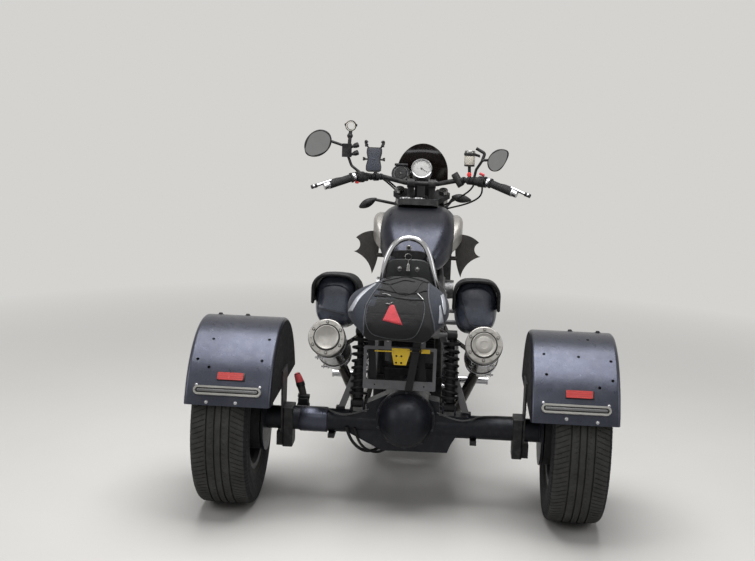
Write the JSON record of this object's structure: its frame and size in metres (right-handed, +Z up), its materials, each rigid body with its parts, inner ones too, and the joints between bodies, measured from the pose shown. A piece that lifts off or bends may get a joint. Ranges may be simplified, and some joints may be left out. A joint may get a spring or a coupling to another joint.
{
  "type": "three-wheeled cruiser motorcycle",
  "caption": "Cruiser motorcycle converted to three wheels: car tyres under box mudguards on a live rear axle, raked steering fork, twin high mufflers and soft luggage.",
  "frame": {"origin": "centre of the vehicle's length and width, on the floor under its wheels", "axes": "+X forward, +Y to the rider's left, +Z up"},
  "size_m": [2.2563, 1.514, 1.3956],
  "materials": {
    "frame_black": "satin black frame paint",
    "axle_black": "black painted cast housing",
    "engine_grey": "dark satin engine casting",
    "engine_silver": "silver satin casting",
    "radiator_black": "matt black core",
    "body_blue_black": "dark blue-black satin paint",
    "scoop_silver": "silver grey moulding",
    "trim_black": "matt black moulding",
    "seat_black": "grained vinyl",
    "bag_fabric": "coated bag cloth with grey piping",
    "saddlebag_leather": "smooth black leather",
    "chrome": "polished chrome",
    "brushed_steel": "brushed stainless steel",
    "exhaust_steel": "heat darkened steel",
    "strut_grey": "grey painted tube",
    "spring_black": "black coated spring steel",
    "light_grey": "clear lens in a bright rim",
    "reflector_red": "ribbed red reflector",
    "plate_grey": "grey powder coat",
    "bracket_yellow": "yellow zinc plate",
    "hose_black": "black rubber",
    "grip_rubber": "ribbed rubber",
    "lever_red": "faded red cap on a grey grip",
    "tyre_rubber": "road worn rubber",
    "wheel_silver": "cast wheel paint",
    "disc_steel": "brake disc steel",
    "lamp_glass": "chromed shell with a clear lens",
    "screen_tint": "dark smoked screen",
    "gauge_face": "white dial in a chrome rim"
  },
  "bodies": {
    "chassis": {"frame": "frame_black", "subframe": "strut_grey", "engine_block": "engine_grey", "cylinders": "engine_grey", "head_covers": "engine_silver", "carburettors": "engine_silver", "radiator": "radiator_black", "tank": "body_blue_black", "air_scoops": "scoop_silver", "dash_console": "trim_black", "seat": "seat_black", "tail_bag": "bag_fabric", "grab_hoop": "chrome", "saddlebag_left": "saddlebag_leather", "saddlebag_right": "saddlebag_leather", "mufflers": "exhaust_steel", "muffler_caps": "brushed_steel", "exhaust_pipes": "exhaust_steel", "axle_housing": "axle_black", "diff_cover": "axle_black", "axle_brackets": "frame_black", "swing_arms": "frame_black", "prop_shaft": "axle_black", "shocks": "spring_black", "springs": "spring_black", "guard_left": "body_blue_black", "guard_right": "body_blue_black", "light_bars": "light_grey", "reflectors": "reflector_red", "plate_frame": "plate_grey", "hook_bracket": "bracket_yellow", "brake_lines": "hose_black", "hand_brake": "lever_red", "leg_shields": "body_blue_black", "foot_pegs": "chrome"},
    "steering": {"triple_clamps": "frame_black", "fork_legs": "brushed_steel", "front_guard": "body_blue_black", "handlebar": "frame_black", "grips": "grip_rubber", "bar_ends": "chrome", "controls": "trim_black", "gauge": "gauge_face", "headlight": "lamp_glass", "screen": "screen_tint", "screen_bracket": "frame_black", "indicators": "trim_black", "mirrors": "trim_black", "phone_holder": "trim_black", "camera_mount": "trim_black", "cables": "hose_black"},
    "front_wheel": {"front_wheel": "wheel_silver", "front_tyre": "tyre_rubber", "front_discs": "disc_steel"},
    "rear_wheel_left": {"rear_wheel_left": "wheel_silver", "rear_tyre_left": "tyre_rubber"},
    "rear_wheel_right": {"rear_wheel_right": "wheel_silver", "rear_tyre_right": "tyre_rubber"}
  },
  "joints": [
    {"name": "steering_turn", "type": "hinge", "parent": "chassis", "child": "steering", "pos_m": [0.74507, 0, 0.29755], "axis": [-0.4848, 0, 0.8746], "range_deg": [-32, 32]},
    {"name": "front_wheel_spin", "type": "hinge", "parent": "steering", "child": "front_wheel", "pos_m": [0.8, 0, 0.328], "axis": [0, 1, 0], "continuous": true},
    {"name": "rear_left_spin", "type": "hinge", "parent": "chassis", "child": "rear_wheel_left", "pos_m": [-0.8, 0.635, 0.328], "axis": [0, 1, 0], "continuous": true},
    {"name": "rear_right_spin", "type": "hinge", "parent": "chassis", "child": "rear_wheel_right", "pos_m": [-0.8, -0.635, 0.328], "axis": [0, 1, 0], "continuous": true}
  ]
}
